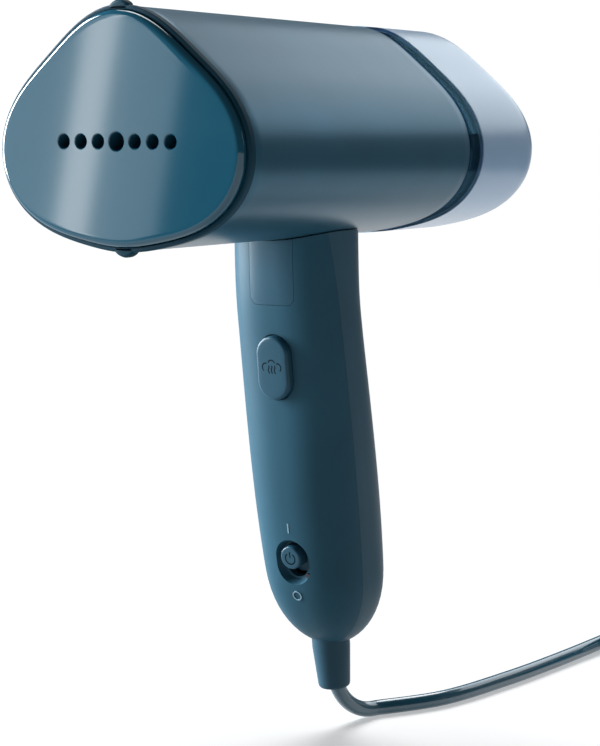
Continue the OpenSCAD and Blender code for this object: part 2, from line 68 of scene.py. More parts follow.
def material(name, color, rough, metallic=0.0, coat=0.0, coat_rough=0.1, specular=0.5, vary=0.06,
             vary_scale=40.0, grain=0.0, grain_scale=2500.0, rough_vary=0.04, transmission=0.0, ior=1.5):
    """Principled material whose colour, roughness and fine bump come from noise in object space."""
    m = bpy.data.materials.new(name)
    m.use_nodes = True
    nt = m.node_tree
    nodes, links = nt.nodes, nt.links
    bsdf = next(n for n in nodes if n.type == "BSDF_PRINCIPLED")
    for key, value in (("Metallic", metallic), ("Coat Weight", coat), ("Coat Roughness", coat_rough),
                       ("Specular IOR Level", specular), ("Transmission Weight", transmission), ("IOR", ior)):
        bsdf.inputs[key].default_value = value
    coord = nodes.new("ShaderNodeTexCoord")
    cloud = nodes.new("ShaderNodeTexNoise")
    cloud.inputs["Scale"].default_value = vary_scale
    cloud.inputs["Detail"].default_value = 3
    links.new(coord.outputs["Object"], cloud.inputs["Vector"])
    ramp = nodes.new("ShaderNodeValToRGB")
    ramp.color_ramp.elements[0].position, ramp.color_ramp.elements[1].position = 0.3, 0.7
    ramp.color_ramp.elements[0].color = [c * (1 - vary) for c in color[:3]] + [1]
    ramp.color_ramp.elements[1].color = [min(1, c * (1 + vary)) for c in color[:3]] + [1]
    links.new(cloud.outputs["Fac"], ramp.inputs["Fac"])
    links.new(ramp.outputs["Color"], bsdf.inputs["Base Color"])
    fine = nodes.new("ShaderNodeTexNoise")
    fine.inputs["Scale"].default_value = grain_scale
    fine.inputs["Detail"].default_value = 2
    links.new(coord.outputs["Object"], fine.inputs["Vector"])
    spread = nodes.new("ShaderNodeMapRange")
    spread.inputs["To Min"].default_value = max(0.0, rough - rough_vary)
    spread.inputs["To Max"].default_value = rough + rough_vary
    links.new(fine.outputs["Fac"], spread.inputs["Value"])
    links.new(spread.outputs["Result"], bsdf.inputs["Roughness"])
    if grain:
        bump = nodes.new("ShaderNodeBump")
        bump.inputs["Strength"].default_value = grain
        bump.inputs["Distance"].default_value = 0.0001
        links.new(fine.outputs["Fac"], bump.inputs["Height"])
        links.new(bump.outputs["Normal"], bsdf.inputs["Normal"])
    return m


M = {
    "shell_blue": material("barrel_paint", (0.017, 0.078, 0.125), 0.34, metallic=0.5, grain=0.04, specular=0.25),
    "grip_blue": material("grip_satin", (0.016, 0.061, 0.093), 0.45, grain=0.05, specular=0.08),
    # the rear shell is the grip's own satin made lighter and glossier: a painted highlight for the light falling on the
    # grip's back
    "grip_rear_blue": material("grip_satin_painted_rear_highlight", (0.022, 0.066, 0.098), 0.45, grain=0.05, specular=0.16),
    "rim_blue": material("rim_gloss", (0.006, 0.032, 0.052), 0.5, grain=0.02, specular=0.05),
    "plate_metal": material("plate_coating", (0.0085, 0.058, 0.094), 0.40, coat=1.0, coat_rough=0.055, specular=0.0,
                            rough_vary=0.015, grain=0.01, vary=0.03),
    "button_blue": material("button_satin", (0.014, 0.056, 0.088), 0.36, grain=0.04, specular=0.16),
    "collar_dark": material("collar_gloss", (0.005, 0.030, 0.046), 0.4, vary=0.1, specular=0.06),
    "clear_blue": material("tank_clear", (0.24, 0.39, 0.57), 0.32, transmission=0.25, ior=1.42, coat=0.6,
                           coat_rough=0.34, rough_vary=0.01, vary=0.015),
    "cord_dark": material("cord_sheath", (0.010, 0.064, 0.100), 0.25, coat=1.0, coat_rough=0.04, grain=0.02,
                          vary=0.1, specular=0.3),
    "boot_dark": material("boot_rubber", (0.015, 0.054, 0.083), 0.42, grain=0.08, specular=0.15),
    "plug_dark": material("plug_plastic", (0.012, 0.026, 0.04), 0.42, grain=0.25, grain_scale=900.0),
    "pin_metal": material("pin_plate", (0.72, 0.73, 0.75), 0.2, metallic=1.0),
    "steel": material("plain_steel", (0.5, 0.5, 0.52), 0.32, metallic=1.0),
    "alu": material("cast_aluminium", (0.10, 0.10, 0.11), 0.6, metallic=1.0, grain=0.4, grain_scale=700.0),
    "mark_pale": material("mark_print", (0.14, 0.25, 0.32), 0.5, vary=0.03),
    "lamp_red": material("lamp_lens", (0.022, 0.002, 0.004), 0.3, coat=0.1, coat_rough=0.05),
    "inner_white": material("inner_plastic", (0.62, 0.62, 0.58), 0.5, grain=0.1, grain_scale=900.0),
    "inner_black": material("inner_dark_plastic", (0.015, 0.015, 0.017), 0.45, grain=0.1, grain_scale=900.0),
    "seal_grey": material("silicone_grey", (0.03, 0.03, 0.033), 0.55),
    "hose_clear": material("silicone_hose", (0.66, 0.68, 0.70), 0.4, transmission=0.3),
    "coil_brown": material("winding_tape", (0.10, 0.035, 0.015), 0.5),
}
# near-black matte colour for the symbols' strokes: painted shade standing in for engraved grooves
ICON_PAINTED_SHADE = material("icon_painted_groove_shade", (0.001, 0.006, 0.010), 0.8, specular=0.05)


def clear_front(m, y0, y1):
    """Makes the front of the tank, where it laps over the collar, clear instead of frosted: clear
    ahead of y0, frosted behind y1 (metres)."""
    nt = m.node_tree
    nodes, links = nt.nodes, nt.links
    output = next(n for n in nodes if n.type == "OUTPUT_MATERIAL")
    frosted = next(n for n in nodes if n.type == "BSDF_PRINCIPLED")
    clear, through, gloss = (nodes.new("ShaderNode" + k) for k in ("MixShader", "BsdfTransparent", "BsdfGlossy"))
    through.inputs["Color"].default_value = (0.62, 0.74, 0.84, 1)
    gloss.inputs["Roughness"].default_value = 0.12
    gloss.inputs["Color"].default_value = (0.25, 0.55, 0.70, 1)
    clear.inputs[0].default_value = 0.04
    links.new(through.outputs[0], clear.inputs[1])
    links.new(gloss.outputs[0], clear.inputs[2])
    coord, split = nodes.new("ShaderNodeTexCoord"), nodes.new("ShaderNodeSeparateXYZ")
    spread, mix = nodes.new("ShaderNodeMapRange"), nodes.new("ShaderNodeMixShader")
    spread.inputs["From Min"].default_value, spread.inputs["From Max"].default_value = y0, y1
    links.new(coord.outputs["Object"], split.inputs[0])
    links.new(split.outputs["Y"], spread.inputs["Value"])
    links.new(spread.outputs["Result"], mix.inputs[0])
    links.new(clear.outputs[0], mix.inputs[1])
    links.new(frosted.outputs[0], mix.inputs[2])
    links.new(mix.outputs[0], output.inputs["Surface"])


clear_front(M["clear_blue"], 0.0400, 0.0412)
slot_of = {s["node"]: s["material_slot"] for s in frame["record"]["subparts"]}
for node_name, cad_node in frame["nodes"].items():
    cad_node.data.materials.clear()
    cad_node.data.materials.append(M[slot_of[node_name]])
    cad_node.data.shade_smooth()
    cad_node.data.set_sharp_from_angle(angle=math.radians(28))

# ---------- meshes ----------


def make(name, verts, faces, mat=None, body=None, nodes=(), slot=None, sharp=28):
    """A mesh object from millimetre points; with a body it becomes a finished piece."""
    me = bpy.data.meshes.new(name)
    me.from_pydata([tuple(float(c) * MM for c in v) for v in verts], [], faces)
    me.update()
    o = bpy.data.objects.new(name, me)
    scene.collection.objects.link(o)
    if body:
        finish_piece(o, mat, body, nodes, slot, sharp)
    return o


def finish_piece(o, mat, body, nodes=(), slot=None, sharp=28):
    o.data.materials.clear()
    o.data.materials.append(mat if mat else M[slot])
    o.data.shade_smooth()
    o.data.set_sharp_from_angle(angle=math.radians(sharp))
    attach(o, body)
    if nodes:
        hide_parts(*nodes)
    return o


def loft_data(rings, closed=False):
    """Points and faces through rings of equal length: capped at both ends, or closed on itself."""
    n, m = len(rings[0]), len(rings)
    faces = []
    for j in range(m if closed else m - 1):
        a, b = j * n, ((j + 1) % m) * n
        for i in range(n):
            k = (i + 1) % n
            faces.append((a + i, a + k, b + k, b + i))
    if not closed:
        faces.append(tuple(range(n - 1, -1, -1)))
        faces.append(tuple((m - 1) * n + i for i in range(n)))
    return [p for r in rings for p in r], faces


def loft(name, rings, closed=False, **kw):
    return make(name, *loft_data(rings, closed), **kw)


def cut(target, cutter, op="DIFFERENCE"):
    """Boolean of two closed meshes, applied at once; the cutter goes."""
    before = len(target.data.vertices)
    for solver in ("MANIFOLD", "EXACT"):
        mod = target.modifiers.new("cut", "BOOLEAN")
        mod.operation, mod.object, mod.solver = op, cutter, solver
        bpy.context.view_layer.update()
        result = bpy.data.meshes.new_from_object(target.evaluated_get(bpy.context.evaluated_depsgraph_get()))
        target.modifiers.remove(mod)
        if len(result.vertices) not in (0, before):
            break
    target.data = result
    bpy.data.objects.remove(cutter)
    return target


def join(base, *others):
    """Puts the meshes of others into base."""
    verts, faces = [], []
    for o in (base,) + others:
        at = len(verts)
        verts += [v.co[:] for v in o.data.vertices]
        faces += [tuple(at + i for i in p.vertices) for p in o.data.polygons]
    me = bpy.data.meshes.new(base.name)
    me.from_pydata(verts, [], faces)
    me.update()
    base.data = me
    for o in others:
        bpy.data.objects.remove(o)
    return base


def lathe_y(name, x, z, profile, n=40, **kw):
    """Solid of revolution about a line along Y; profile is (y, radius) from end to end."""
    t = np.linspace(0, 2 * math.pi, n, endpoint=False)
    rings = [np.stack([x + r * np.sin(t), np.full(n, y), z + r * np.cos(t)], 1) for y, r in profile]
    return loft(name, rings, **kw)


def block(name, a, b, **kw):
    (x0, y0, z0), (x1, y1, z1) = a, b
    rings = [[(x0, y, z1), (x1, y, z1), (x1, y, z0), (x0, y, z0)] for y in (y0, y1)]
    return loft(name, rings, **kw)


# ---------- the head's and the grip's own shapes ----------

RIM_Y, BARREL_END, HEAD_Z = -101.0, 32.0, 100.0


def head_ring(y, inset=0.0, n=200):
    t = np.linspace(0, 2 * math.pi, n, endpoint=False)
    f = (y - RIM_Y) / (BARREL_END - RIM_Y)
    r = 42.76 + 5.26 * np.cos(t) - 5.84 * np.cos(2 * t) + 1.87 * np.cos(3 * t) + 2.08 * np.cos(4 * t)
    r = r * (1 - 0.0494 * f) - inset
    return np.stack([r * np.sin(t), np.full(n, y), HEAD_Z - 3.26 * f + r * np.cos(t)], 1)


def grip_y(z):
    return -6.6 + 0.15 * ((47 - z) + math.sqrt((47 - z) ** 2 + 64)) / 2


def grip_depth(z):
    c = min(1, max(0, (50 - z) / 85))
    return 16 + 3.6 * c * c * (3 - 2 * c) - 0.0012 * min(z + 33, 0) ** 2


def foot(z, length=31.0):
    return 1.0 if z > -50 else math.sqrt(max(1e-4, 1 - min(1, (-50 - z) / length) ** 2.5))


def grip_ring(z, inset=0.0, n=144, length=31.0):
    """Counter-clockwise seen from above."""
    t = np.linspace(0, 2 * math.pi, n, endpoint=False)
    f = foot(z, length)
    a = (22.4 - 0.00035 * min(z - 25, 0) ** 2 - inset) * f
    b = (grip_depth(z) - inset) * f
    r = ((np.abs(np.cos(t)) / a) ** 2.5 + (np.abs(np.sin(t)) / b) ** 2.5) ** -0.4
    return np.stack([r * np.cos(t), grip_y(z) + r * np.sin(t), np.full(n, z)], 1)


def front_y(z):
    return grip_y(z) - grip_depth(z) * foot(z)


def front_frame(z):
    """Matrix of the frame standing on the grip's front at height z, local -Y outwards."""
    tilt = math.atan((front_y(z - 1) - front_y(z + 1)) / 2)
    return Matrix.Translation((0, front_y(z), z)) @ Matrix.Rotation(tilt, 4, "X")


def placed(rings, matrix):
    return [[tuple(matrix @ Vector(p)) for p in r] for r in rings]


def arc(r, a0, a1, steps=14, at=(0, 0)):
    """Points of an arc of radius r about at, from a0 to a1 degrees."""
    return [(at[0] + r * math.cos(a), at[1] + r * math.sin(a)) for a in np.radians(np.linspace(a0, a1, steps))]


# ---------- steam head ----------

# rim of the head: outer roundover, inner roundover, then the shelf that holds the plate
inner_round = [(-100.65 - 0.35 * math.cos(a), 1.25 + 0.35 * math.sin(a)) for a in np.radians(np.linspace(0, 90, 5))]
rim = [(-98.3, 0.25), (-98.3, 0.0)] + [(-100.3 - v, 0.7 - u) for u, v in arc(0.7, 0, 90, 7)] + inner_round \
    + [(-95.5, 1.7), (-95.5, 6), (-94.2, 6), (-94.2, 2.8), (-98.3, 2.6)]
bezel = loft("head_rim", [head_ring(y, i) for y, i in rim], closed=True)
# the two bumps that hold a brush, at the top and the bottom of the rim
NUB_R, NUB_OUT, RIM_TOP, RIM_BOTTOM = 5.55, 1.6, 146.13, 100 - 31.91
for z_mid, side in ((RIM_TOP + NUB_OUT - NUB_R, 1), (RIM_BOTTOM - NUB_OUT + NUB_R, -1)):
    nub = []
    for y, shrink in ((-98.4, 0.0), (-99.9, 0.0), (-100.6, 0.25), (-100.95, 0.8), (-101.0, 1.2)):
        a = np.radians(np.linspace(-46, 46, 17))
        crest = [((NUB_R - shrink) * math.sin(v), y, z_mid + side * (NUB_R - shrink) * math.cos(v)) for v in a]
        base = [(3.2, y, z_mid + side * 2.6), (-3.2, y, z_mid + side * 2.6)]
        nub.append((crest + base)[::side])
    join(bezel, loft("nub", nub[::-1]))
finish_piece(bezel, None, "head", ("bezel",), "rim_blue", 40)

# plate with a rounded edge and seven chamfered steam holes
edge = [(-103.5 + 2.0 * (1 - math.sin(a)), 1.75 + 2.0 * (1 - math.cos(a))) for a in np.radians(np.linspace(90, 0, 9))]
plate = loft("plate", [head_ring(y, i, 240) for y, i in [(-103.5, 4.8)] + edge] + [head_ring(-97.0, 1.8, 240)])
HOLE_Z, FIRST_GAP, HOLE_GAP = 103.3, 7.45, 7.1
for i in range(-3, 4):
    x = 0.0 if i == 0 else math.copysign(FIRST_GAP + (abs(i) - 1) * HOLE_GAP, i)
    r = 3.15 if i == 0 else 2.5
    hole = [(-110, r + 0.12), (-103.5, r + 0.12), (-103.2, r - 0.2), (-90, r - 0.2)]
    cut(plate, lathe_y("hole", x, HOLE_Z, hole, 48))
finish_piece(plate, None, "head", ("steam_plate",), "plate_metal", 26)

# barrel: one skin from the groove behind the rim to the collar
BARREL_IN = 0.3 - 0.0001                 # the barrel's skin, just inside the rim's outline
skin = [(-98.0, 0.35)] + [(y, BARREL_IN) for y in np.linspace(-97.8, 31.4, 34)] \
    + [(31.8, 0.42), (32.0, 0.75), (32.0, 2.3), (31.8, 2.55), (-97.9, 2.55)]
barrel = loft("barrel", [head_ring(y, i) for y, i in skin], closed=True)
# slots for the hinge's two cheeks, and the window for the release catch
for s in (-1, 1):
    cut(barrel, block("slot", (s * 6.8 - 2.8, 5.2, 58), (s * 6.8 + 2.8, 14.2, 76)))
cut(barrel, block("window", (-5, -20.75, 58), (5, -12, 76)))
finish_piece(barrel, None, "head", ("body_shell",), "shell_blue", 35)

# dark collar that the tank slides over, with its floor and port
collar = loft("collar", [head_ring(y, i) for y, i in
              [(28, 3.6), (28, 2.8), (32.1, 2.8), (32.15, 1.6), (32.4, 1.5), (42.9, 1.5), (43.3, 1.62), (43.5, 1.95),
               (43.5, 3.2), (43.3, 3.5), (28.05, 3.6)]], closed=True)
floor_cup = loft("cup", [head_ring(26, 2.8), head_ring(28.1, 2.8)])
cut(floor_cup, lathe_y("bore", 0, 90, [(20, 1.4), (40, 1.4)], 24))
port = lathe_y("port", 0, 90, [(27.9, 7.0), (35.6, 7.0), (36, 6.6), (36, 4.2), (29.5, 4.2), (29.5, 1.4), (27.9, 1.4)],
               48)
finish_piece(join(collar, floor_cup, port), None, "head", ("tank_dock",), "collar_dark", 35)

# ---------- water tank ----------

back = [(84 - 12 * (1 - math.sin(a)), 9 * (1 - math.cos(a))) for a in np.radians(np.linspace(0, 90, 15))]
walls = [(32.4, 0.35), (32.75, 0.0)] + [(y, 0) for y in np.linspace(38, 66, 6)]
tank = loft("tank", [head_ring(y, i) for y, i in walls + back])
cut(tank, loft("skirt", [head_ring(20, 1.3), head_ring(44.6, 1.3)]))
room = [(82.2 - 10.5 * (1 - math.sin(a)), 1.6 + 8.5 * (1 - math.cos(a))) for a in np.radians(np.linspace(0, 90, 11))]
cut(tank, loft("room", [head_ring(y, i) for y, i in [(46.4, 2.0), (47.4, 1.6)] + room]))
cut(tank, lathe_y("valve_nose", 0, 90, [(37, 5.8), (37.4, 6.2), (45.6, 6.2)]), "UNION")
cut(tank, lathe_y("valve_bore", 0, 90, [(30, 3.95), (50, 3.95)]))
cut(tank, lathe_y("filler", 0, 98, [(75, 8.1), (90, 8.1)], 64))
finish_piece(tank, None, "tank", ("water_tank",), "clear_blue", 32)
STOPPER_Z = 98
stopper = lathe_y("stopper", 0, STOPPER_Z, [(81.3, 7.4), (81.8, 8.0), (84.1, 8.0), (84.15, 9.9), (84.4, 10.25),
                                            (85.3, 10.3), (85.7, 10.0), (85.8, 9.4)], 64)
tab = placed([[(w * math.cos(a), y, 6 + 2.6 * math.sin(a)) for a in np.linspace(2 * math.pi, 0, 24, endpoint=False)]
              for y, w in ((0, 3.4), (1.6, 3.2), (2.3, 2.8), (2.6, 1.8))], Matrix.Translation((0, 85.6, STOPPER_Z)))
finish_piece(join(stopper, loft("tab", tab)), None, "stopper", ("filler_stopper",), "collar_dark", 40)

# ---------- grip ----------

PART_Y, PART_SLOPE = -5.0, 0.155        # the plane where the two shells meet


def grip_solid(name):
    """Outside of the grip, from its rounded foot up into the head."""
    low = [grip_ring(-50 - t * 31) for t in (0.993, 0.985, 0.97, 0.95, 0.92, 0.88, 0.83, 0.77, 0.7, 0.62, 0.53, 0.43,
                                             0.32, 0.2, 0.1)]
    return loft(name, low + [grip_ring(z) for z in np.linspace(-50, 72, 50)])


def grip_core():
    """Inside of the grip, 2.4 mm below its skin."""
    low = [grip_ring(-50 - t * 28.6, 2.4, 96, 28.6) for t in (0.97, 0.9, 0.8, 0.66, 0.5, 0.3, 0.14)]
    return loft("core", low + [grip_ring(z, 2.4, 96) for z in np.linspace(-50, 63, 24)])


def half_space(side):
    """Big block in front of (side 0) or behind (side 1) the plane where the shells meet."""
    lo, hi = (-70, -0.04) if side == 0 else (0.04, 70)
    turn = Matrix.Translation((0, PART_Y, 0)) @ Matrix.Rotation(math.atan(PART_SLOPE), 4, "X")
    return loft("half", placed([[(-40, y, 110), (40, y, 110), (40, y, -140), (-40, y, -140)] for y in (lo, hi)], turn))


def belly():
    """The barrel's outline, with 0.15 mm of air, to cut the grip's top to."""
    return loft("belly", [head_ring(y, -0.15) for y in np.linspace(-60, 60, 3)])


def stadium(w, h, depth, n=56, crown=0.0):
    """Upright lozenge in the front frame, clockwise seen from the front; depth grows inwards."""
    r, s, pts = w / 2, (h - w) / 2, []
    for a in np.linspace(math.pi / 2, -1.5 * math.pi, n, endpoint=False):
        x, z = r * math.cos(a), r * math.sin(a)
        z += s if math.sin(a) > 1e-9 or abs(a - math.pi / 2) < 1e-9 else -s
        pts.append((x, depth + crown * x * x, z))
    return pts


def front_cut(z, outlines, up=0.0):
    """Loft through outlines that stand on the grip's front at height z, moved up by up."""
    return loft("front_cut", placed([[(x, y, v + up) for x, y, v in r] for r in outlines], front_frame(z)))


def panel_block(grow, y0, y1):
    """Upright block with two rounded lower corners, the outline of the release panel."""
    w, low, r = 9.15 + grow, 44.8 - grow, 3.0 + grow
    outline = [(-w, 80), (w, 80)]
    outline += [(w - r + r * math.cos(a), low + r - r * math.sin(a)) for a in np.radians(np.linspace(0, 90, 8))]
    outline += [(-w + r - r * math.sin(a), low + r - r * math.cos(a)) for a in np.radians(np.linspace(0, 90, 8))]
    return loft("panel_block", [[(x, y, z) for x, z in outline] for y in (y0, y1)])


EXIT_Y, EXIT_Z, EXIT_TILT = 11.9, -81.8, 6.8
BOOT = Matrix.Translation((0, EXIT_Y, EXIT_Z)) @ Matrix.Rotation(math.radians(EXIT_TILT), 4, "X")


def boot_lathe(name, profile, n=64, closed=False):
    """Solid of revolution about the cord's exit; profile is (height, radius) from the bottom up."""
    t = np.linspace(0, 2 * math.pi, n, endpoint=False)
    rings = [[(r * math.cos(a), r * math.sin(a), h) for a in t] for h, r in profile]
    return loft(name, placed(rings, BOOT), closed)


def stadiums(*outlines):
    return [stadium(*o) for o in outlines]


TRIG, POWER = 22.9, -47.4               # heights of the trigger and of the power slider
core = grip_core()
pod = front_cut(POWER, stadiums((20, 20.01, 0), (20, 20.01, 6)))
front = cut(grip_solid("grip_front"), half_space(0), "INTERSECT")
cut(front, cut(core, pod))
cut(front, belly())
cut(front, panel_block(0.14, -40, -14))
# trigger opening, slider dish, the slider's slot and the lamp's hole
cut(front, front_cut(TRIG, stadiums((14.6, 23.7, -6), (14.6, 23.7, -0.15), (13.9, 23.0, 0.3), (13.9, 23.0, 6))))
cut(front, front_cut(POWER, stadiums((16.6, 19.0, -5), (15.4, 17.8, -0.5), (14.5, 16.9, 0.1), (13.9, 16.3, 0.7),
                                     (12.2, 14.8, 2.7), (11.4, 14.1, 3.1), (10.6, 13.4, 3.2))))
cut(front, front_cut(POWER, stadiums((8.9, 12.7, 2), (8.9, 12.7, 12)), 0.1))
cut(front, front_cut(POWER, [[(x * 0.12 + 4.9, y, z * 0.12 - 5.0) for x, y, z in stadium(14.2, 14.21, d)]
                             for d in (-1, 5.6)]))
cut(front, boot_lathe("boot_hole", [(-12, 7.1), (6, 7.1)]))
finish_piece(front, None, "handle", ("handle_front_shell",), "grip_blue", 24)

rear = cut(grip_solid("grip_rear"), half_space(1), "INTERSECT")
cut(rear, grip_core())
cut(rear, belly())
# room for the pressed release panel, pockets for the hinge's cheeks and sinks for the screws
cut(rear, block("panel_room", (-4.6, -25, 48), (4.6, -11, 80)))
for s in (-1, 1):
    cut(rear, block("pocket", (s * 6.8 - 2.75, 5.2, 57.5), (s * 6.8 + 2.75, 20, 80)))
    cut(rear, lathe_y("sink", 15 * s, 44, [(3.6, 3.1), (20, 3.1)], 32))
    cut(rear, lathe_y("sink", 11.5 * s, -57, [(18, 3.1), (40, 3.1)], 32))
cut(rear, boot_lathe("boot_hole", [(-12, 7.1), (6, 7.1)]))
t = np.linspace(0, 2 * math.pi, 40, endpoint=False)
knuckle = loft("knuckle", [[(x, 9.6 + r * math.cos(a), 62 + r * math.sin(a)) for a in t]
               for x, r in ((-4, 3.5), (-3.6, 4), (3.6, 4), (4, 3.5))])
web = block("web", (-3.9, 3, 57), (3.9, 8.4, 65.4))
cups = [lathe_y("cup", x, z, [(y, 4.2), (y + 1.4, 4.2), (y + 1.4, 3.12), (y + 0.4, 3.12), (y + 0.4, 1.7), (y, 1.7)],
                32)
        for x, z, y in ((15, 44, 2.2), (-15, 44, 2.2), (11.5, -57, 16.8), (-11.5, -57, 16.8))]
# the rear shell takes the lighter satin that carries the painted highlight
finish_piece(join(rear, knuckle, web, *cups), None, "handle", ("handle_rear_shell",), "grip_rear_blue", 24)

boot = boot_lathe("boot", [(8, 3.05), (8, 6.9), (0, 6.9), (-8, 6.3), (-14.1, 5.83), (-14.8, 5.68), (-15.15, 5.4),
                           (-15.2, 5.1), (-14.9, 4.8), (-11, 3.8), (-7.5, 3.15)], closed=True)
finish_piece(boot, None, "handle", ("cord_boot",), "boot_dark", 40)

# ---------- controls ----------

panel = cut(grip_solid("release_panel"), panel_block(0.0, -40, -19), "INTERSECT")
cut(panel, belly())
finger = block("finger", (-4, -19.2, 50), (4, -17.1, 70.2))
finish_piece(join(panel, finger), None, "release", ("release_button",), "button_blue", 30)


def cap_button(name, w, h, top, bottom, radius, crown, at, up):
    """Lozenge button with a rounded edge; crown curves its face across."""
    rings = []
    for k in (0.985, 0.8, 0.55, 0.3):
        inset = radius + (w / 2 - radius) * k
        rings.append(stadium(w - 2 * inset, h - 2 * inset, top, crown=crown))
    for a in np.radians(np.linspace(90, 0, 8)):
        i = radius * (1 - math.cos(a))
        rings.append(stadium(w - 2 * i, h - 2 * i, top + radius * (1 - math.sin(a)), crown=crown))
    rings.append(stadium(w, h, bottom, crown=crown * 0.5))
    return loft(name, placed([[(x, y, z + up) for x, y, z in r] for r in rings], front_frame(at)))


def ribbon(name, lines, width, surface, at, up, body):
    """Dark strokes of a symbol sunk into a button face, coloured near black as painted shade standing in for engraved
    grooves; surface(x, z) is the face's depth.
    """
    verts, faces = [], []
    for line in lines:
        line = np.array(line, float)
        start, m = len(verts), len(line)
        for j in range(m):
            d = line[min(j + 1, m - 1)] - line[max(j - 1, 0)]
            d /= np.hypot(*d)
            for side, lift in ((-1, -0.02), (1, -0.02), (1, 0.1), (-1, 0.1)):
                x, z = line[j] + side * width / 2 * np.array([-d[1], d[0]])
                verts.append(tuple(front_frame(at) @ Vector((x, surface(x, z) + lift, z + up))))
        for j in range(m - 1):
            a = start + 4 * j
            faces += [(a + i, a + (i + 1) % 4, a + 4 + (i + 1) % 4, a + 4 + i) for i in range(4)]
        faces += [tuple(start + i for i in (3, 2, 1, 0)), tuple(start + 4 * (m - 1) + i for i in range(4))]
    return make(name, verts, faces, mat=ICON_PAINTED_SHADE, body=body, slot="button_blue")


TRIG_FACE, TRIG_CROWN, SLIDER_FACE = -2.5, 0.004, -0.8     # depths in the front frame, and the crown
trigger = cap_button("trigger", 13.4, 22.5, TRIG_FACE, 3.4, 1.15, TRIG_CROWN, TRIG, 0.0)
trigger_flange = front_cut(TRIG, stadiums((15.8, 24.9, 3.4), (15.8, 24.9, 4.8)))
finish_piece(join(trigger, trigger_flange), None, "trigger", ("steam_trigger",), "button_blue", 50)


cloud = [arc(1.5, 22, 158, at=(0, 1.15)), arc(1.45, 72, 232, at=(-2.5, 0.05)), arc(1.45, 108, -52, at=(2.5, 0.05))]
steam = [[(x + 0.22 * math.sin(k * 0.9), 0.75 - 0.32 * k) for k in range(10)] for x in (-1.25, 0.0, 1.25)]
ribbon("steam_symbol", cloud + steam, 0.42, lambda x, z: TRIG_FACE + TRIG_CROWN * x * x, TRIG, 0.4, "trigger")

slider = cap_button("slider", 8.4, 8.41, SLIDER_FACE, 6.3, 0.7, 0.0, POWER, 2.0)
plate_ring = front_cut(POWER, [[(x * 1.5, y, z * 1.8) for x, y, z in stadium(8, 8.01, d)] for d in (6.2, 7.35)], 2.0)
peg = front_cut(POWER, stadiums((2.4, 2.41, 7.3), (2.4, 2.41, 10.4)), 2.0)
finish_piece(join(slider, plate_ring, peg), None, "power", ("power_slider",), "button_blue", 50)
ribbon("power_symbol", [arc(2.0, 125, 415, 26), [(0, 0.4), (0, 1.5), (0, 2.6)]], 0.5,
       lambda x, z: SLIDER_FACE, POWER, 1.8, "power")

# ---------- cord ----------

CORD_R, LIE = 2.9, -110.0               # the cord's radius, and the height of its middle on the floor
BEND = 22.7                             # radius of the bend below the boot


def spline(points, steps):
    """Catmull-Rom curve through the points, with steps parts between each two."""
    out = []
    p = [np.array(q, float) for q in points]
    for i in range(len(p) - 1):
        a, b, c, d = p[max(i - 1, 0)], p[i], p[i + 1], p[min(i + 2, len(p) - 1)]
        for s in range(steps):
            u = s / steps
            out.append(0.5 * (2 * b + (c - a) * u + (2 * a - 5 * b + 4 * c - d) * u * u
                              + (3 * b - a - 3 * c + d) * u ** 3))
    return out + [p[-1]]


# out of the boot, round the bend on to the floor, and along it to the coil
EXIT_DROP, BEND_FROM, BEND_TURN, DRIFT = 8.2, 186.8, 83.2, 3.4
bend_y = EXIT_Y + 0.1192 * EXIT_DROP + BEND * math.cos(math.radians(EXIT_TILT))
bend_z = -90 + BEND * math.sin(math.radians(EXIT_TILT))
route = [np.array([DRIFT * ((a - BEND_FROM) / BEND_TURN) ** 2, bend_y + BEND * math.cos(math.radians(a)),
                   max(LIE, bend_z + BEND * math.sin(math.radians(a)))]) for a in np.linspace(BEND_FROM, 270, 18)]
run = spline([(DRIFT, 35.4, LIE), (17, 61, LIE), (22.5, 99, LIE), (24.5, 135, LIE), (25.8, 172, LIE + 0.5),
              (26.1, 196, LIE + 1)], 8)
route += [q for q in run if q[1] > route[-1][1] + 2.5][:-1]
# the coil: three flat layers, wound inwards, outwards and inwards, each a step above the last
COIL = np.array([66.5, 196.0])
TURNS, STEP, INNER, LAYER, CLIMB = 2.6667, 6.1, 23.9, 5.95, 0.25
OUTER = INNER + TURNS * STEP
total = 3 * TURNS + 2 * CLIMB
for k in np.linspace(0, total, int(total * 30)):
    spot, level = k, 0
    while spot > TURNS + CLIMB and level < 2:
        spot -= TURNS + CLIMB
        level += 1
    inward = level != 1
    r = OUTER - STEP * min(spot, TURNS) if inward else INNER + STEP * min(spot, TURNS)
    h = level + (0 if spot <= TURNS else 0.5 - 0.5 * math.cos(math.pi * (spot - TURNS) / CLIMB))
    left = (total - k) * 2 * math.pi * INNER          # millimetres before the coil ends
    h += 0.5 * (1 - math.sin(math.pi * left / 26 / 2)) if left < 26 else 0
    a = math.pi - 2 * math.pi * k
    route.append(np.array([COIL[0] + r * math.cos(a), COIL[1] + r * math.sin(a), LIE + 1 + LAYER * h]))
